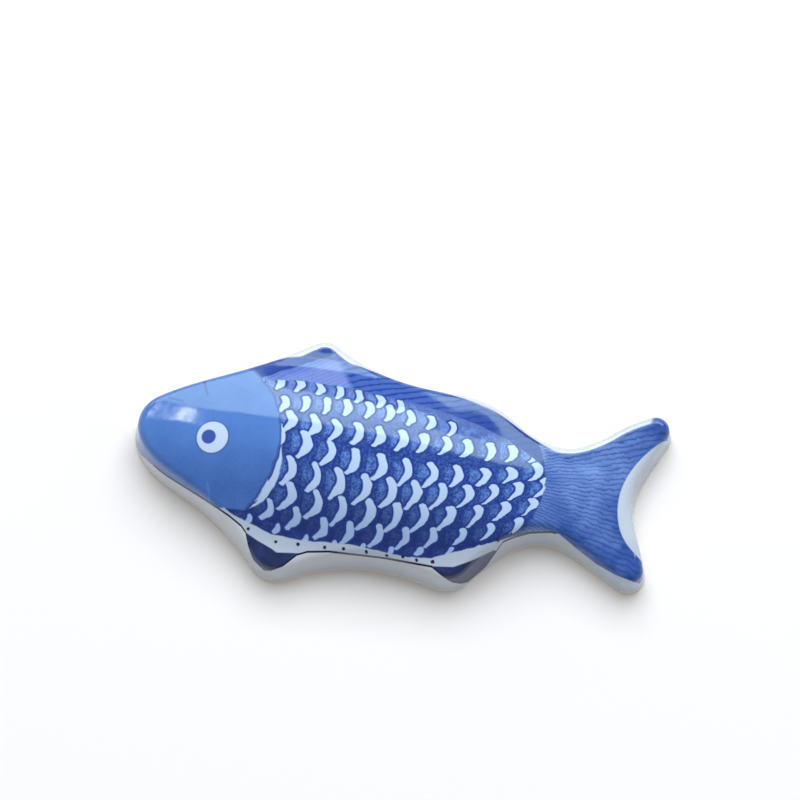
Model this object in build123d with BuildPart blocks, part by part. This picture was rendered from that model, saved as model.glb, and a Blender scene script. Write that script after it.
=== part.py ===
"""Chopstick rest: a blue and white porcelain fish that lies on its side.

One fired piece, built up in three layers: a moulded porcelain body, the areas of cobalt print laid
on it, and the clear glaze over what is left white. Millimetres, +Z up, resting on Z = 0, head towards
-X and back fin towards +Y. Plan sizes are stations behind the snout and rises above the fish's axis.
"""

import os
from math import cos, pi, radians, sin, sqrt, tan

from build123d import *

# Round tips of the outline, with the bearings in degrees where the outline meets and leaves each round
length = 71.2
snout_radius = 5.1
snout_rise = 0.7
snout_bearings = (205, 123)
dorsal_station = 24.0
dorsal_rise = 16.0
dorsal_radius = 3.3
dorsal_bearings = (122, 56)
tail_top_rise = 11.9
tail_low_station = 70.1
tail_low_drop = 12.2
tail_tip_radius = 2.3
tail_top_bearings = (116, -26)
tail_low_bearings = (14, -116)
anal_station = 43.7
anal_drop = 15.3
anal_radius = 4.2
anal_bearings = (-40, -104)
pectoral_station = 21.3
pectoral_drop = 17.1
pectoral_radius = 4.4
pectoral_bearings = (-62, -137)

# Places that the outline passes between its round tips
nape_station = 13.6
nape_rise = 10.5
back_station = 39.1
back_rise = 11.2
rear_fin_station = 46.8
rear_fin_rise = 10.4
peduncle_station = 55.6
peduncle_rise = 5.8
peduncle_drop = 7.3
notch_station = 67.5
notch_drop = 1.0
belly_station = 31.6
belly_drop = 14.0
jaw_station = 10.6
jaw_drop = 9.1

# Moulded form: drafted walls, fins of even height and a bulge for the body
height = 12.0
fin_height = 5.2
draft_angle = 7.0
shoulder_radius = 1.5
foot_bevel = 0.5
bulge_station = 28.6
bulge_drop = 0.9
bulge_tilt = 3.8
bulge_half_length = 30.0
bulge_half_width = 12.4
bulge_blend = 0.4

# Shallow hollow under the body, inside the flat foot
hollow_length = 34.0
hollow_width = 13.0
hollow_depth = 1.2
hollow_drop = 1.5

# Glaze and print, flush with each other and at least this thick
glaze_thickness = 0.4
glaze_line = 0.9
print_margin = 0.95
line_width = 0.4

# Porcelain under the glaze: a bevelled slab, and a swelling drawn as flat-sided bands inside the bulge
core_bevel = 0.6
core_bands = (-0.15, 0.15, 0.5, 0.8, 0.95)
core_sides = 16

# Print areas
gill_station = 20.2
gill_drop = 0.9
gill_radius = 12.9
crescent_station = 20.9
crescent_drop = 2.4
crescent_radius = 13.3
eye_station = 11.1
eye_drop = 1.1
eye_ring_diameter = 4.2
pupil_station = 10.7
pupil_diameter = 1.9
tail_root_station = 56.4
tail_root_drop = 1.9
tail_root_radius = 26.0
notch_bare_station = 65.2
notch_bare_drop = 2.3
notch_bare_radius = 8.2
fin_root = [(13.6, 9.1), (34.6, 7.0), (58.6, 2.0)]
flank_edge = [(13.6, -9.8), (19.6, -11.7), (31.6, -12.1), (46.6, -10.6), (52.6, -6.4), (58.6, -3.6)]
pectoral_root = [(15.1, -11.7), (20.4, -13.2), (26.6, -14.0)]
anal_root = [(40.0, -14.2), (45.6, -12.4), (51.6, -8.6)]
belly_line_end = 54.6

# Fineness of the sampled outline and of the grid under the domed surface
stretch_samples = 8
dome_step = 2.5
dome_margin = 3.0
clear = 1.0


# Tips from the snout over the back and home along the belly, as station, rise, radius and bearings
tips = [
    (snout_radius, snout_rise, snout_radius, snout_bearings),
    (dorsal_station, dorsal_rise - dorsal_radius, dorsal_radius, dorsal_bearings),
    (length - tail_tip_radius, tail_top_rise - tail_tip_radius, tail_tip_radius, tail_top_bearings),
    (
        tail_low_station - tail_tip_radius,
        tail_tip_radius - tail_low_drop,
        tail_tip_radius,
        tail_low_bearings,
    ),
    (anal_station, anal_radius - anal_drop, anal_radius, anal_bearings),
    (pectoral_station, pectoral_radius - pectoral_drop, pectoral_radius, pectoral_bearings),
]
# Places passed between each tip and the next
passes = [
    [(nape_station, nape_rise)],
    [(back_station, back_rise), (rear_fin_station, rear_fin_rise), (peduncle_station, peduncle_rise)],
    [(notch_station, -notch_drop)],
    [(peduncle_station, -peduncle_drop)],
    [(belly_station, -belly_drop)],
    [(jaw_station, -jaw_drop)],
]


def closed_outline(inset, places_between):
    """Tips drawn in by an inset, and smooth stretches that pass the given places between them."""
    with BuildLine():
        rounds = [
            CenterArc((station, rise), radius - inset, first, last - first)
            for station, rise, radius, (first, last) in tips
        ]
        stretches = [
            Spline(before @ 1, *places, after @ 0, tangents=[before % 1, after % 0])
            for before, places, after in zip(rounds, places_between, rounds[1:] + rounds[:1])
        ]
    return rounds, stretches


def inset_places(stretch, inset):
    """Places along a stretch, drawn in square to it: the outline runs clockwise, inside on its right."""
    places = []
    for index in range(stretch_samples + 1):
        along = index / stretch_samples
        way = stretch % along
        places.append(stretch @ along + Vector(way.Y, -way.X) * inset)
    return places


def outline_edges(inset):
    """Outline drawn in by an inset, with the same edges as the outline itself."""
    places_between = [inset_places(stretch, inset)[1:-1] for stretch in outline_stretches]
    rounds, stretches = closed_outline(inset, places_between)
    return rounds + stretches


outline_rounds, outline_stretches = closed_outline(0, passes)
nape, back, notch, tail_underside, belly, jaw = outline_stretches
outline_box = Curve(outline_rounds + outline_stretches).bounding_box()
middle = outline_box.center()


def level(z):
    """Plane at height z that takes stations and rises, with the fish centred on the origin."""
    return Plane((-middle.X, -middle.Y, z))


def swell(inside):
    """Share of the bulge's height: inside is 1 at the crown, 0 at the rim and less beyond it."""
    return (inside + sqrt(inside**2 + bulge_blend**2)) / (1 + sqrt(1 + bulge_blend**2))


def bulge_height(inside):
    """Height of the upper surface: level over the fins, swelling smoothly into the bulge of the body."""
    return fin_height + (height - fin_height) * swell(inside)


def dome_height(station, rise):
    """Height of the upper surface over a place in plan."""
    along = (station - bulge_station) / bulge_half_length
    axis = -bulge_drop - (station - bulge_station) * tan(radians(bulge_tilt))
    across = (rise - axis) / bulge_half_width
    return bulge_height(1 - along**2 - across**2)


def steps(low, high):
    """Evenly spaced places from low to high, about one dome step apart."""
    count = round((high - low) / dome_step)
    return [low + (high - low) * index / count for index in range(count + 1)]


def wall_inset(z):
    """How far the drafted wall stands in from the foot at the height z."""
    return z * tan(radians(draft_angle))


# Finished outside: drafted wall, domed top, rounded shoulder and bevelled foot
top = height + clear
dome_rows = [
    [
        Vector(station - middle.X, rise - middle.Y, dome_height(station, rise))
        for rise in steps(outline_box.min.Y - dome_margin, outline_box.max.Y + dome_margin)
    ]
    for station in steps(outline_box.min.X - dome_margin, outline_box.max.X + dome_margin)
]
dome = Face.make_surface_from_array_of_points(dome_rows, min_deg=3, max_deg=5)

with BuildPart() as finished:
    for z in (0, top):
        with BuildSketch(level(z)):
            make_face(outline_edges(wall_inset(z)))
    loft(ruled=True)
    extrude(dome, amount=top, dir=(0, 0, 1), mode=Mode.SUBTRACT)
    fillet(finished.faces().sort_by(Axis.Z)[-1].edges(), radius=shoulder_radius)
    chamfer(finished.faces().sort_by(Axis.Z)[0].edges(), length=foot_bevel)

# Swelling of the porcelain under the bulge, kept back from the shoulder all round
slab_top = fin_height - glaze_thickness
core_rim = glaze_thickness + core_bevel + wall_inset(fin_height)
turns = [2 * pi * side / core_sides for side in range(core_sides)]

with BuildPart() as swelling:
    for inside in core_bands:
        low_band = inside == core_bands[0]
        z = slab_top - core_bevel if low_band else bulge_height(inside) - sqrt(2) * glaze_thickness
        reach = sqrt(1 - inside)
        corners = [
            (bulge_half_length * reach * cos(turn), bulge_half_width * reach * sin(turn))
            for turn in turns
        ]
        with BuildSketch(level(z)):
            with Locations(Pos(bulge_station, -bulge_drop) * Rot(0, 0, -bulge_tilt)):
                Polygon(*corners)
    loft(ruled=True)
    with BuildSketch(level(0)):
        make_face(outline_edges(core_rim))
    extrude(amount=top, mode=Mode.INTERSECT)

# Porcelain inside the glaze: a slab with a bevelled edge under the fins, and the swelling on it
slab_levels = [
    (foot_bevel, glaze_thickness),
    (slab_top - core_bevel, glaze_thickness),
    (slab_top, glaze_thickness + core_bevel),
]
with BuildPart() as core:
    for z, depth in slab_levels:
        with BuildSketch(level(z)):
            make_face(outline_edges(depth + wall_inset(z)))
    loft(ruled=True)
    add(swelling.part)

with BuildPart() as porcelain_body:
    add(finished.part)
    split(bisect_by=Plane.XY.offset(glaze_line), keep=Keep.BOTTOM)
    add(core.part)
    with BuildSketch(level(0)):
        with Locations((bulge_station, -hollow_drop)):
            Ellipse(hollow_length / 2, hollow_width / 2)
    extrude(amount=hollow_depth, mode=Mode.SUBTRACT)

with BuildPart() as skin:
    add(finished.part)
    split(bisect_by=Plane.XY.offset(glaze_line), keep=Keep.TOP)
    add(core.part, mode=Mode.SUBTRACT)

# Print areas in plan
with BuildSketch(level(0)) as head_area:
    with Locations((gill_station - gill_radius, -gill_drop)):
        Circle(gill_radius)
    make_face(outline_edges(print_margin), mode=Mode.INTERSECT)
    with Locations((eye_station, -eye_drop)):
        Circle(eye_ring_diameter / 2, mode=Mode.SUBTRACT)

with BuildSketch(level(0)) as pupil_area:
    with Locations((pupil_station, -eye_drop)):
        Circle(pupil_diameter / 2)

with BuildSketch(level(0)) as scale_area:
    with BuildLine():
        upper = ThreePointArc(*fin_root)
        lower = Spline(*flank_edge)
        Line(upper @ 0, lower @ 0)
        Line(upper @ 1, lower @ 1)
    make_face()
    with Locations((gill_station - gill_radius, -gill_drop)):
        Circle(gill_radius, mode=Mode.SUBTRACT)
    with Locations((crescent_station - crescent_radius, -crescent_drop)):
        Circle(crescent_radius, mode=Mode.SUBTRACT)
    make_face(outline_edges(print_margin), mode=Mode.INTERSECT)
    with Locations((tail_root_station - tail_root_radius, -tail_root_drop)):
        Circle(tail_root_radius, mode=Mode.INTERSECT)

with BuildSketch(level(0)) as dorsal_area:
    with BuildLine():
        root = ThreePointArc(*fin_root)
        Polyline(root @ 0, ((root @ 0).X, dorsal_rise), ((root @ 1).X, dorsal_rise), root @ 1)
    make_face()
    make_face(outline_edges(print_margin), mode=Mode.INTERSECT)
    with Locations((gill_station - gill_radius, -gill_drop)):
        Circle(gill_radius, mode=Mode.SUBTRACT)
    with Locations((tail_root_station - tail_root_radius, -tail_root_drop)):
        Circle(tail_root_radius, mode=Mode.INTERSECT)

with BuildSketch(level(0)) as tail_area:
    make_face(outline_edges(print_margin))
    with Locations((peduncle_station, 0)):
        Rectangle(length, length, align=(Align.MIN, Align.CENTER), mode=Mode.INTERSECT)
    with Locations((tail_root_station - tail_root_radius, -tail_root_drop)):
        Circle(tail_root_radius, mode=Mode.SUBTRACT)
    with Locations((notch_bare_station + notch_bare_radius, -notch_bare_drop)):
        Circle(notch_bare_radius, mode=Mode.SUBTRACT)

with BuildSketch(level(0)) as pectoral_area:
    with BuildLine():
        root = ThreePointArc(*pectoral_root)
        Polyline(root @ 0, ((root @ 0).X, -pectoral_drop), ((root @ 1).X, -pectoral_drop), root @ 1)
    make_face()
    make_face(outline_edges(print_margin), mode=Mode.INTERSECT)

with BuildSketch(level(0)) as anal_area:
    with BuildLine():
        root = ThreePointArc(*anal_root)
        Polyline(root @ 0, ((root @ 0).X, -anal_drop), ((root @ 1).X, -anal_drop), root @ 1)
    make_face()
    make_face(outline_edges(print_margin), mode=Mode.INTERSECT)

# Lines that follow the belly and the underside of the tail root
with BuildSketch(level(0)) as edge_lines:
    for stretch in (tail_underside, belly):
        with BuildLine():
            outer = Spline(*inset_places(stretch, print_margin))
            inner = Spline(*inset_places(stretch, print_margin + line_width))
            Line(outer @ 0, inner @ 0)
            Line(outer @ 1, inner @ 1)
        make_face()

with BuildSketch(level(0)) as belly_line_area:
    for front, rear in ((pectoral_root[-1][0], anal_root[0][0]), (anal_root[-1][0], belly_line_end)):
        with Locations((front, 0)):
            Rectangle(rear - front, 2 * belly_drop, align=(Align.MIN, Align.MAX))
    add(edge_lines.sketch_local, mode=Mode.INTERSECT)

areas = {
    "head_print": head_area,
    "pupil_print": pupil_area,
    "scale_print": scale_area,
    "dorsal_fin_print": dorsal_area,
    "tail_fin_print": tail_area,
    "pectoral_fin_print": pectoral_area,
    "anal_fin_print": anal_area,
    "belly_line_print": belly_line_area,
}

# Each print is the stretch of skin over its area, and the glaze is the rest of the skin
pieces = {"porcelain_body": porcelain_body.part}
for name, area in areas.items():
    with BuildPart() as print_area:
        add(skin.part)
        extrude(area.sketch, amount=top, mode=Mode.INTERSECT)
    pieces[name] = print_area.part

with BuildPart() as glaze_coat:
    add(skin.part)
    windows = [face for area in areas.values() for face in area.sketch.faces()]
    extrude(windows, amount=top, mode=Mode.SUBTRACT)
pieces["glaze_coat"] = glaze_coat.part

os.makedirs("parts", exist_ok=True)
for name, piece in pieces.items():
    piece.label = name
    export_step(piece, f"parts/{name}.step")
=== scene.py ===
"""Looks for a chopstick rest: a blue and white porcelain fish under a clear glossy glaze."""

from math import cos, pi, radians, sin

import bmesh
import bpy
from mathutils import Matrix, Vector


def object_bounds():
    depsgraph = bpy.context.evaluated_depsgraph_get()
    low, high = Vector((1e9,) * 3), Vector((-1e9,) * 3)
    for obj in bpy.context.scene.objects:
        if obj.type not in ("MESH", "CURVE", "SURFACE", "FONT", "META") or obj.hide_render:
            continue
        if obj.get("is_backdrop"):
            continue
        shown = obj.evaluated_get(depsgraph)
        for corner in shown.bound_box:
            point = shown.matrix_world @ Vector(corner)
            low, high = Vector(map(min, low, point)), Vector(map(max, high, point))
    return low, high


MM = 0.001
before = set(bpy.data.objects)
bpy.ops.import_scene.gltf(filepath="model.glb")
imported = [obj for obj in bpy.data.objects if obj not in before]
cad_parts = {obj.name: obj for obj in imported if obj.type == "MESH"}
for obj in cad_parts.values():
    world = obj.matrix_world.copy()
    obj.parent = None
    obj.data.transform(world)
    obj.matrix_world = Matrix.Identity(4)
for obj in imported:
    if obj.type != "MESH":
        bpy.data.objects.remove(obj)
cad_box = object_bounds()

# Where the photograph was taken from
VIEW_AZIMUTH = 8.0
VIEW_ELEVATION = 74.0
PIXELS_ACROSS = 800
PIXELS_PER_MM = 7.5
LENS = 200.0
SENSOR = 36.0
NEAREST, FARTHEST = 0.01, 10.0
AIM_POINT = Vector((0.9, 0.95, 1.0)) * MM
AIM_PIXEL = (405, 470)

# The print is laid out in millimetres, as stations behind the snout and rises above the axis of the fish
SNOUT_X = -35.6
AXIS_Y = 0.55
MID_STATION = 36.0

# Rows of scales from the back to the belly: rise at mid body, slope, bend, first station, pitch, height
SCALE_ROWS = [
    (6.55, -0.13, -0.003, 29.4, 2.7, 2.5),
    (5.2, -0.06, -0.006, 25.35, 2.757, 2.8),
    (1.6, 0.02, 0.0035, 24.05, 2.93, 3.4),
    (-2.65, 0.0, 0.0105, 20.0, 3.4, 3.9),
    (-5.6, 0.054, 0.0094, 21.9, 3.33, 4.15),
    (-8.5, 0.079, 0.0096, 22.1, 3.54, 3.95),
    (-10.9, 0.081, 0.0105, 19.6, 3.64, 3.0),
    (-12.5, 0.077, 0.0093, 20.9, 3.8, 1.6),
]

# Rows that stop short of the tail, by their place in the list, and the stations where they stop
ROW_ENDS = {0: 35.5, 1: 43.6}

# The columns of scales lean over away from this rise, by one part in this many millimetres
UPRIGHT_RISE = 5.5
COLUMN_RADIUS = 50.0

# One crescent: its bend, the height from which its stroke is full, how far it sits behind its station,
# how far the stroke ends inside the row at the top and the foot, and the half widths that make up the stroke
CRESCENT_BEND = 1.15
FULL_HEIGHT = 3.6
CRESCENT_SHIFT = 0.35
TOP_GAP = 0.45
FOOT_GAP = 0.3
FOOT_WIDTH = 0.2
MIDDLE_GAIN = 0.34
TOP_LOSS = 0.12

# Dots along the white of the belly, as station and rise
BELLY_DOTS = [
    (17.4, -11.8), (21.2, -13.0), (24.1, -13.0), (27.8, -13.0), (30.2, -12.9), (33.3, -12.9),
    (35.9, -13.0), (38.1, -12.8), (39.9, -13.0), (42.1, -12.9), (50.1, -8.9), (51.8, -7.8),
]
DOT_RADIUS = 0.22

# Edges of the print on the belly side, each a run of stops along the fish, as rise plus SLANT times height:
# where the print ends on the wall, where the scales end above the white belly, and the roots of the two fins
SLANT = 0.3
PRINT_EDGE = [
    (0.5, -1.2), (1.4, -2.1), (3.0, -3.0), (5.0, -4.2), (8.0, -5.55), (11.1, -6.9), (12.9, -7.7),
    (14.6, -8.55), (16.4, -9.7), (17.1, -10.5), (17.6, -12.1), (18.5, -14.1), (20.1, -15.3), (21.0, -15.2),
    (22.6, -14.3), (24.2, -12.6), (25.5, -12.0), (28.3, -11.55), (36.0, -11.45), (42.0, -11.7),
    (43.6, -12.75), (44.9, -13.45), (46.0, -13.55), (47.1, -13.2), (49.0, -10.8), (50.8, -7.1),
    (52.3, -6.2), (54.2, -5.4), (57.0, -4.9), (58.0, -5.0), (60.6, -6.75), (63.3, -8.4), (66.0, -9.5),
    (69.4, -10.3),
]
SCALE_EDGE = [
    (12.5, -12.0), (12.9, -7.6), (13.8, -7.6), (15.4, -8.4), (17.7, -9.2), (20.4, -10.2), (24.0, -10.5),
    (28.0, -10.3), (31.0, -10.1), (36.0, -10.6), (38.8, -10.8), (41.8, -10.5), (44.0, -9.5), (47.0, -8.35),
    (49.4, -7.25), (54.2, -5.2),
]
FRONT_FIN_ROOT = [(17.0, -10.4), (18.7, -11.3), (20.8, -12.2), (21.5, -12.6), (24.4, -12.3)]
REAR_FIN_ROOT = [(42.0, -11.6), (44.8, -11.3), (47.1, -10.1), (49.7, -8.4)]

# Root of the back fin, as station and rise, and the start and slope of its front edge
BACK_FIN_ROOT = [
    (16.8, 8.1), (21.0, 8.6), (27.9, 8.5), (32.9, 8.0), (37.9, 7.5), (42.0, 6.9), (46.2, 5.9), (49.8, 4.6),
    (53.0, 2.9), (58.0, -0.5),
]
FIN_EDGE_START = (15.8, 8.3)
FIN_EDGE_SLOPE = 0.6

# Head: the arc of the gill, its lower rear corner, and the eye with its pupil
GILL_CENTRE = (7.3, -0.9)
GILL_RADIUS = 12.9
HEAD_CORNER = (13.6, -9.7)
EYE_CENTRE = (11.1, -1.0)
EYE_LINE_RADIUS = 2.25
EYE_RADIUS = 2.08
PUPIL_CENTRE = (10.6, -1.0)
PUPIL_RADIUS = 0.95

# Tail: its curved root, the fan of rays, and the white notch, which curves more below a rise
TAIL_ROOT = (55.3, -0.7)
TAIL_ROOT_CURVE = 0.05
RAY_CENTRE = (42.0, -1.6)
RAYS_PER_RADIAN = 32
NOTCH = (65.15, -1.4)
NOTCH_CURVE = 0.054
NOTCH_LOW_RISE = -4.0
NOTCH_LOW_CURVE = 0.0136

# Heights above the table where the print stops: on the belly side, how much higher on the back, on the tail,
# and where the shoulder of the back ends
PRINT_FOOT = 1.0
BACK_CLIMB = 2.0
TAIL_PRINT_FOOT = 2.6
SHOULDER_HEIGHT = 6.1

# Finishes, with the depth of their unevenness in millimetres
GLAZE_ROUGHNESS = 0.1
GLAZE_IOR = 1.5
GLAZE_WAVE = 0.02
BISQUE_ROUGHNESS = 0.75
BISQUE_GRIT = 0.01

# Lamps in metres and degrees: name, place, turn, width, depth and light; the gloss lamps show in the glaze only
DAYLIGHT = (3.7, 3.8, 4.05)
SKY = (3.5, 4.7, 4.6)
PANE_LIGHT = (44, 46, 48)
WINDOW_TURN = (-90, 8, 0)
SOFT_LAMP = ("overhead", (0, 0.7, 1.1), (-32, 0, 0), 1.3, 1.2, DAYLIGHT)
GLOSS_LAMPS = [
    ("window", (0, 0.6, 0.475), WINDOW_TURN, 1.2, 0.327, SKY),
    ("low_window", (-0.235, 0.6, 0.263), WINDOW_TURN, 0.737, 0.158, SKY),
    ("side_window", (-0.44, 0.6, 0.152), WINDOW_TURN, 0.626, 0.119, SKY),
    ("bright_pane", (-0.571, 0.426, 0.738), (-27, -34, 1), 0.012, 0.28, PANE_LIGHT),
]
FILL_GREY = (0.34, 0.34, 0.34, 1)
TABLE_WHITE = (0.96, 0.95, 0.93, 1)
TABLE_HALF_WIDTH = 2.0


def colour(red, green, blue):
    """Screen colour in 0 to 255 as the shader's linear colour."""
    parts = [value / 255 for value in (red, green, blue)]
    return (*(p / 12.92 if p <= 0.04045 else ((p + 0.055) / 1.055) ** 2.4 for p in parts), 1.0)


WHITE_GLAZE = colour(220, 226, 230)
COOL_GLAZE = colour(204, 214, 224)
# Greyer white glaze: painted shade on the steep walls behind the head
SHADED_WALL_GLAZE = colour(176, 185, 194)
# Darker bluish white: painted shade on the belly band and in the tail's notch
SHADED_BLUISH_GLAZE = colour(172, 192, 216)
BISQUE = colour(232, 228, 220)
BISQUE_SPECK = colour(214, 208, 196)
HEAD_LIGHT = colour(80, 130, 205)
HEAD_DEEP = colour(60, 102, 180)
LINE_BLUE = colour(26, 52, 130)
SCALE_DARK = colour(20, 55, 140)
SCALE_MID = colour(94, 138, 212)
SCALE_PALE = colour(128, 156, 216)
SCALE_DEEP = colour(6, 34, 112)
CRESCENT = colour(188, 214, 248)
LOW_CRESCENT = colour(160, 190, 234)
TAIL_LIGHT = colour(122, 160, 226)
TAIL_DEEP = colour(46, 86, 164)
RAY_BLUE = colour(24, 58, 134)
FIN_BLUE = colour(64, 102, 186)
# Pale lilac: a painted sheen on the front of the back fin
FIN_LILAC_SHEEN = colour(120, 142, 210)
FIN_BAND = colour(32, 68, 156)
FIN_DEEP = colour(36, 70, 154)
STROKE_BLUE = colour(24, 58, 142)
NAVY = colour(8, 20, 62)
NAVY_LIGHT = colour(48, 72, 132)
PUPIL = colour(60, 88, 176)
EYE_WHITE = colour(200, 222, 250)


class Field:
    """A value that varies over the surface, written in sums and products of other values."""

    def __init__(self, paint, output):
        self.paint = paint
        self.output = output

    def calc(self, operation, *values):
        """One step of arithmetic on fields and numbers."""
        return self.paint.node("ShaderNodeMath", {"operation": operation}, dict(enumerate(values)))

    def __add__(self, other):
        return self.calc("ADD", self, other)

    def __radd__(self, other):
        return self.calc("ADD", other, self)

    def __sub__(self, other):
        return self.calc("SUBTRACT", self, other)

    def __rsub__(self, other):
        return self.calc("SUBTRACT", other, self)

    def __mul__(self, other):
        return self.calc("MULTIPLY", self, other)

    def __rmul__(self, other):
        return self.calc("MULTIPLY", other, self)

    def __truediv__(self, other):
        return self.calc("DIVIDE", self, other)

    def __abs__(self):
        return self.calc("ABSOLUTE", self)

    def __round__(self):
        return self.calc("ROUND", self)

    def __and__(self, other):
        return self.calc("MULTIPLY", self, other)

    def __or__(self, other):
        return self.calc("MAXIMUM", self, other)

    def squared(self):
        return self * self

    def rises(self, low, high):
        """Smoothly 0 at low and 1 at high; low may be the larger."""
        sockets = {"Value": self, "From Min": low, "From Max": high}
        return self.paint.node("ShaderNodeMapRange", {"interpolation_type": "SMOOTHSTEP"}, sockets)

    def above(self, level, soft=0.2):
        """1 above a level, with a soft edge."""
        return self.rises(level - soft / 2, level + soft / 2)

    def below(self, level, soft=0.2):
        """1 below a level, with a soft edge."""
        return self.rises(level + soft / 2, level - soft / 2)

    def near(self, level, half_width, soft=0.2):
        """1 within the half width of a level, with soft edges."""
        return abs(self - level).below(half_width, soft)

    def profile(self, stops):
        """Straight runs between stops, each a place and the value there."""
        total = stops[0][1]
        for (start, low), (end, high) in zip(stops, stops[1:]):
            sockets = {"Value": self, "From Min": start, "From Max": end, "To Max": high - low}
            total = total + self.paint.node("ShaderNodeMapRange", {"interpolation_type": "LINEAR"}, sockets)
        return total

    def within(self, low, high):
        """The value held between two limits."""
        return self.calc("MINIMUM", self | low, high)

    def off_beat(self):
        """How far the value is from the nearest whole number."""
        return self - round(self)


class Paint:
    """One material and the nodes that make it up."""

    def __init__(self, name):
        self.material = bpy.data.materials.new(name)
        self.material.use_nodes = True
        self.tree = self.material.node_tree
        self.shader = self.tree.nodes["Principled BSDF"]

    def node(self, kind, settings, sockets, output=0):
        """A node with its settings made first and its sockets fed after, as a field."""
        made = self.tree.nodes.new(kind)
        for name, value in settings.items():
            setattr(made, name, value)
        for key, value in sockets.items():
            self.feed(made.inputs[key], value)
        return Field(self, made.outputs[output])

    def feed(self, socket, value):
        """A field is linked to the socket, and a number or colour is set on it."""
        if isinstance(value, Field):
            self.tree.links.new(value.output, socket)
        else:
            socket.default_value = value

    def finish(self, **values):
        """The shader's own sockets, with spaces in their names written as underscores."""
        for name, value in values.items():
            self.feed(self.shader.inputs[name.replace("_", " ")], value)

    def noise(self, place, scale, detail, rough):
        """Cloudy noise from 0 to 1."""
        sockets = {"Vector": place, "Scale": scale, "Detail": detail, "Roughness": rough}
        return self.node("ShaderNodeTexNoise", {}, sockets)

    def sway(self, place, scale, reach):
        """A gentle wander to either side."""
        return reach * (self.noise(place, scale, 1.0, 0.5) - 0.5)

    def bumps(self, height, depth):
        """Normals of an uneven surface, with its depth in millimetres."""
        return self.node("ShaderNodeBump", {}, {"Strength": 1.0, "Distance": depth * MM, "Height": height})

    def mix(self, under, *layers):
        """Colours laid on one another in turn, each with its share."""
        for over, share in layers:
            under = self.node("ShaderNodeMix", {"data_type": "RGBA"}, {0: share, 6: under, 7: over}, 2)
        return under

    def parts(self, vector):
        """The three parts of a vector."""
        return [self.node("ShaderNodeSeparateXYZ", {}, {0: vector}, axis) for axis in range(3)]

    def place(self):
        """Object coordinates in millimetres."""
        metres = self.node("ShaderNodeTexCoord", {}, {}, "Object")
        return self.node("ShaderNodeVectorMath", {"operation": "SCALE"}, {0: metres, "Scale": 1 / MM})


def distance(along, across):
    """Length of the straight line that goes so far along and across."""
    return along.calc("SQRT", along.squared() + across.squared())


def from_point(point, station, rise):
    """Distance from a point of the print."""
    return distance(station - point[0], rise - point[1])


def row_rise(station, rise, slope, bend):
    """Rise of a row that bends along the fish."""
    past = station - MID_STATION
    return rise + past * (slope + past * bend)


def paint_scales(paint, station, rise, place, fine, speckle):
    """Rows of pale crescents with dark outlines on a mottled ground, lighter in the hollow of each crescent."""
    station = station + paint.sway(place, 0.24, 0.9)
    rise = rise + paint.sway(place, 0.31, 0.8)
    crescents = hollows = outlines = 0.0
    lean = (rise - UPRIGHT_RISE) / COLUMN_RADIUS
    crowding = 1 + station.rises(36, 52) * (0.35 + 0.3 * rise.rises(3.0, -3.0))
    for row, (middle, slope, bend, first, pitch, height) in enumerate(SCALE_ROWS):
        curl = CRESCENT_BEND / height
        heft = min(1.0, (height / FULL_HEIGHT) ** 0.5)
        up = (rise - row_rise(station, middle, slope, bend)) * crowding
        along = ((station - first) / pitch).off_beat() * pitch
        held = up.within(FOOT_GAP - height / 2, height / 2 - TOP_GAP)
        bow = along + held * (lean + held * curl) - CRESCENT_SHIFT
        tilt = lean + held * (2 * curl)
        gap = distance(bow / (1 + 0.35 * tilt.squared()), up - held)
        share = up / (height / 2)
        stroke = FOOT_WIDTH + MIDDLE_GAIN * share.rises(-1.0, -0.15) - TOP_LOSS * share.rises(0.3, 1.0)
        outside = gap - heft * stroke
        if row in ROW_ENDS:
            outside = outside + station.above(ROW_ENDS[row], 0.1)
        crescents = outside.below(0, 0.16) | crescents
        hollows = (share.near(0, 0.6, 0.6) & bow.near(-1.3, 0.7, 0.8)) | hollows
        outlines = outside.near(0.17, 0.13, 0.14) | outlines
    mottle = speckle.rises(0.4, 0.62)
    light = hollows * (0.1 + 0.4 * mottle + 0.4 * fine.rises(0.38, 0.62)) + 0.3 * mottle
    crescent = paint.mix(CRESCENT, (LOW_CRESCENT, rise.rises(-5.0, -12.0)))
    return paint.mix(
        SCALE_DARK,
        (SCALE_MID, light),
        (SCALE_PALE, 0.35 * rise.rises(0.0, 6.0)),
        (SCALE_DEEP, 0.8 * rise.rises(-3.0, -11.0)),
        (SCALE_DARK, 0.85 * outlines),
        (crescent, crescents),
    )


def paint_head(paint, station, rise, cloud, speckle, gill):
    """Cloudy blue wash, deeper towards the jaw, with a dark edge along the gill."""
    depth = 0.7 * rise.rises(2.0, -8.0) + 0.5 * rise.rises(1.0, 4.0)
    depth = depth + 0.9 * (cloud - 0.5) + 0.7 * (speckle - 0.5)
    nape_crease = (station + 0.4 * rise).near(11.44, 0.16) & rise.near(6.1, 1.4, 0.5)
    brow_crease = (rise + 0.25 * station).near(5.25, 0.14) & station.near(5.35, 1.0, 0.5)
    pale_scratch = (station + 0.26 * rise).near(9.5, 0.12) & rise.near(-8.0, 1.4, 0.6)
    lines = nape_crease | brow_crease | gill.near(0, 0.3)
    return paint.mix(HEAD_LIGHT, (HEAD_DEEP, depth), (LINE_BLUE, 0.5 * lines), (HEAD_LIGHT, pale_scratch))


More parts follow.
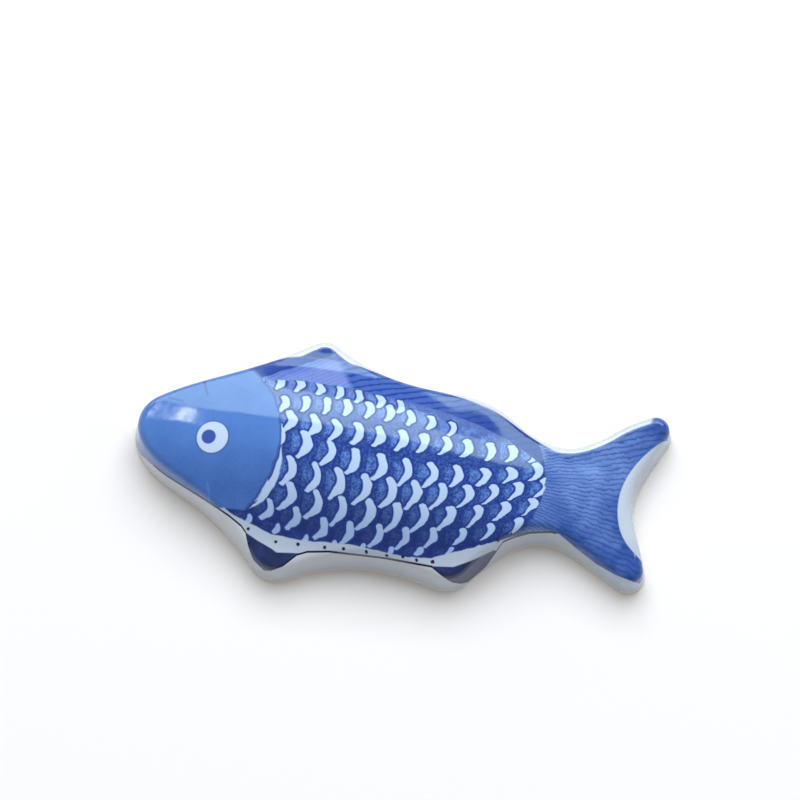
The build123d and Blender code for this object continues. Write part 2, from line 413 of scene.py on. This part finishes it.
def paint_tail(paint, station, rise, cloud, fine):
    """Wash with wavy dark rays that fan out from the root of the tail, and a painted sheen that lightens its
    upper part.
    """
    turn = station.calc("ARCTAN2", rise - RAY_CENTRE[1], station - RAY_CENTRE[0])
    rays = (turn * RAYS_PER_RADIAN + 1.8 * cloud + 0.7 * fine).off_beat().near(0, 0.16, 0.34)
    # Painted sheen: a lighter patch on the upper part of the tail, with fainter rays there
    tail_sheen = rise.near(2.6, 1.0, 4.0) & station.near(60.5, 2.0, 6.0)
    depth = 0.5 + 1.5 * (cloud - 0.5) + 0.4 * rise.rises(0, -7) + 0.5 * station.rises(64, 70)
    ray_share = rays * (0.9 * fine + 0.2 - 0.3 * tail_sheen)
    return paint.mix(TAIL_LIGHT, (TAIL_DEEP, depth - 0.7 * tail_sheen), (RAY_BLUE, ray_share))


def paint_back_fin(paint, station, rise, cloud, fine):
    """Blue band along the front edge, a painted pale lilac sheen behind it, then slanting dark strokes to the
    rear.
    """
    behind_edge = FIN_EDGE_SLOPE * (station - FIN_EDGE_START[0]) - (rise - FIN_EDGE_START[1])
    strokes = (rise - 0.33 * station + 1.2 * cloud).off_beat().near(0, 0.16, 0.25)
    rays = ((rise - 0.75 * station) / 0.7 + 0.7 * cloud).off_beat().near(0, 0.18, 0.4)
    front_depth = 0.35 * rays + 0.5 * (fine - 0.5) + 0.5 * behind_edge.rises(2.2, 0.4)
    stroke_share = 0.9 * strokes + 0.6 * (fine - 0.4)
    rear = paint.mix(FIN_BLUE, (FIN_DEEP, station.rises(36, 50)), (STROKE_BLUE, stroke_share))
    return paint.mix(
        # Painted sheen: pale lilac under the front of the back fin
        FIN_LILAC_SHEEN,
        (FIN_BLUE, front_depth),
        (rear, (station + 0.55 * rise).rises(32.4, 33.6)),
        (FIN_BAND, behind_edge.below(0)),
        (STROKE_BLUE, behind_edge.near(0, 0.16)),
    )


def painted_glaze():
    """The whole print under one clear glaze, so that it runs unbroken from piece to piece."""
    paint = Paint("painted_glaze")
    place = paint.place()
    x, y, z = paint.parts(place)
    faces_back, faces_up = paint.parts(paint.node("ShaderNodeNewGeometry", {}, {}, "Normal"))[1:]
    cloud = paint.noise(place, 0.28, 3.0, 0.55)
    fine = paint.noise(place, 0.9, 3.0, 0.6)
    speckle = paint.noise(place, 3.2, 2.0, 0.7)

    # Most edges wander a little, as drawn by hand; the eye, the notch and the edges on the wall do not
    plain_station = x - SNOUT_X
    plain_rise = y - AXIS_Y
    station = plain_station + paint.sway(place, 0.55, 0.6)
    rise = plain_rise + 0.5 * (fine - 0.5)

    gill = from_point(GILL_CENTRE, station, rise) - GILL_RADIUS
    fin_root = rise - station.profile(BACK_FIN_ROOT)
    tail = station - TAIL_ROOT[0] + TAIL_ROOT_CURVE * (rise - TAIL_ROOT[1]).squared() + 1.2 * (fine - 0.5)
    low = (NOTCH_LOW_RISE - plain_rise) | 0.0
    notch_start = NOTCH[0] + NOTCH_CURVE * (plain_rise - NOTCH[1]).squared()
    notch = notch_start + NOTCH_LOW_CURVE * low * low.squared() - plain_station

    # Edges on the belly side follow the slope of the wall, and on the back the print stops on the shoulder
    slant = plain_rise + SLANT * z
    over_edge = slant - plain_station.profile(PRINT_EDGE)
    above_belly = (slant + 0.4 * (fine - 0.5) - plain_station.profile(SCALE_EDGE)).above(0)
    on_back = faces_back.above(0, 0.1) & (station - 2.0 * z).above(3.3, 1)
    shoulder = on_back & z.below(SHOULDER_HEIGHT) & station.below(68.2, 0.6)
    rim = shoulder & faces_up.below(0.965, 0.03)
    bare = (shoulder & faces_up.below(0.93, 0.05)) | over_edge.below(0)
    bare = bare | (notch.below(0) & station.above(60)) | (z.below(TAIL_PRINT_FOOT) & station.above(52))
    bare = bare | (z - BACK_CLIMB * plain_rise.rises(-1.5, 5.0)).below(PRINT_FOOT)

    front_fin = (slant - plain_station.profile(FRONT_FIN_ROOT)).below(0) & station.near(20.7, 3.8)
    rear_fin = (slant - plain_station.profile(REAR_FIN_ROOT)).below(0) & station.near(46.2, 4.4)
    edge_line = over_edge.near(0.05, 0.15, 0.12) & station.near(30.5, 27)
    dots = 0.0
    for dot in BELLY_DOTS:
        dots = from_point(dot, station, rise).below(DOT_RADIUS, 0.15) | dots
    dots = dots & over_edge.above(0.3)
    sliver = gill.above(0.2) & (gill - 1.1 * (rise.rises(-10.2, -7.6) & rise.rises(0.6, -6.0))).below(0)
    head = gill.below(0) & above_belly & (rise.above(HEAD_CORNER[1]) | station.below(HEAD_CORNER[0]))
    eye = from_point(EYE_CENTRE, plain_station, plain_rise)
    pupil = from_point(PUPIL_CENTRE, plain_station, plain_rise)
    # Where the belly band takes painted shade
    belly_band_shade = over_edge.rises(-0.1, 0.4) & rise.rises(-4.0, -7.0)

    white = paint.mix(
        WHITE_GLAZE,
        (COOL_GLAZE, cloud),
        # Painted shade: greyer white on the steep walls behind the head
        (SHADED_WALL_GLAZE, 0.65 * (faces_up.rises(0.75, 0.3) & station.rises(12, 20))),
        # Painted shade: darker bluish white on the belly band and in the tail's notch
        (SHADED_BLUISH_GLAZE, 0.7 * belly_band_shade | 0.45 * station.rises(62, 66)),
    )
    print_colour = paint.mix(
        white,
        (paint_scales(paint, station, rise, place, fine, speckle), above_belly),
        (CRESCENT, sliver & above_belly),
        (paint_back_fin(paint, station, rise, cloud, fine), fin_root.above(0)),
        (paint_head(paint, station, rise, cloud, speckle, gill), head),
        (paint_tail(paint, station, rise, cloud, fine), tail.above(0)),
        (paint.mix(NAVY, (NAVY_LIGHT, cloud * fine * 1.6)), front_fin | rear_fin),
        (LINE_BLUE, 0.5 * eye.below(EYE_LINE_RADIUS)),
        (EYE_WHITE, eye.below(EYE_RADIUS)),
        (PUPIL, pupil.below(PUPIL_RADIUS)),
        (LINE_BLUE, 0.6 * rim),
        (white, bare),
        (NAVY, edge_line | dots),
    )
    waves = paint.bumps(cloud, GLAZE_WAVE)
    paint.finish(Base_Color=print_colour, Roughness=GLAZE_ROUGHNESS, IOR=GLAZE_IOR, Normal=waves)
    return paint.material


def bisque():
    """Unglazed porcelain, matt with a fine speckle."""
    paint = Paint("bisque")
    speck = paint.noise(paint.place(), 2.5, 4.0, 0.7)
    clay_colour = paint.mix(BISQUE, (BISQUE_SPECK, speck))
    grit = paint.bumps(speck, BISQUE_GRIT)
    paint.finish(Base_Color=clay_colour, Roughness=BISQUE_ROUGHNESS, Normal=grit)
    return paint.material


def set_camera():
    """Long lens at the photograph's angle, framed so that the aim point falls on the aim pixel."""
    turn, lift = radians(VIEW_AZIMUTH), radians(VIEW_ELEVATION)
    back = Vector((sin(turn) * cos(lift), -cos(turn) * cos(lift), sin(lift)))
    right = Vector((cos(turn), sin(turn), 0))
    up = back.cross(right)
    frame_width = PIXELS_ACROSS / PIXELS_PER_MM * MM
    across = (AIM_PIXEL[0] - PIXELS_ACROSS / 2) / PIXELS_PER_MM * MM
    down = (AIM_PIXEL[1] - PIXELS_ACROSS / 2) / PIXELS_PER_MM * MM
    centre = AIM_POINT - right * across + up * down
    data = bpy.data.cameras.new("photo_camera")
    data.lens = LENS
    data.sensor_width = SENSOR
    data.clip_start = NEAREST
    data.clip_end = FARTHEST
    camera = bpy.data.objects.new("photo_camera", data)
    place = centre + back * (frame_width * LENS / SENSOR)
    camera.matrix_world = Matrix.Translation(place) @ Matrix((right, up, back)).transposed().to_4x4()
    bpy.context.scene.collection.objects.link(camera)
    bpy.context.scene.camera = camera


def set_lamp(name, place, turn, width, depth, light):
    """Rectangular soft lamp whose face has the given colour and brightness."""
    data = bpy.data.lights.new(name, "AREA")
    data.shape = "RECTANGLE"
    data.size = width
    data.size_y = depth
    data.color = [part / max(light) for part in light]
    data.energy = max(light) * pi * width * depth
    lamp = bpy.data.objects.new(name, data)
    lamp.location = place
    lamp.rotation_euler = [radians(angle) for angle in turn]
    bpy.context.scene.collection.objects.link(lamp)
    return lamp


def set_lamps():
    """Soft light from above, and the windows and bright pane that show in the gloss only."""
    set_lamp(*SOFT_LAMP).visible_glossy = False
    for lamp in GLOSS_LAMPS:
        set_lamp(*lamp).visible_diffuse = False


def set_world():
    """Even grey fill from all round."""
    world = bpy.data.worlds.new("studio")
    world.use_nodes = True
    world.node_tree.nodes["Background"].inputs["Color"].default_value = FILL_GREY
    bpy.context.scene.world = world
    bpy.context.scene.view_settings.view_transform = "Standard"


def set_table():
    """White table top that keeps a faint shadow."""
    mesh = bpy.data.meshes.new("table")
    shape = bmesh.new()
    bmesh.ops.create_grid(shape, x_segments=1, y_segments=1, size=TABLE_HALF_WIDTH)
    shape.to_mesh(mesh)
    shape.free()
    table = bpy.data.objects.new("table", mesh)
    bpy.context.scene.collection.objects.link(table)
    paper = Paint("white_table")
    paper.finish(Base_Color=TABLE_WHITE, Roughness=1.0, Specular_IOR_Level=0.0)
    mesh.materials.append(paper.material)
    table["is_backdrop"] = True


glaze = painted_glaze()
clay = bisque()
for name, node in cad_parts.items():
    node.data.materials.clear()
    node.data.materials.append(clay if name == "porcelain_body" else glaze)

set_camera()
set_world()
set_lamps()
set_table()

{"cad": [list(v) for v in cad_box], "visual": [list(v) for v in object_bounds()]}
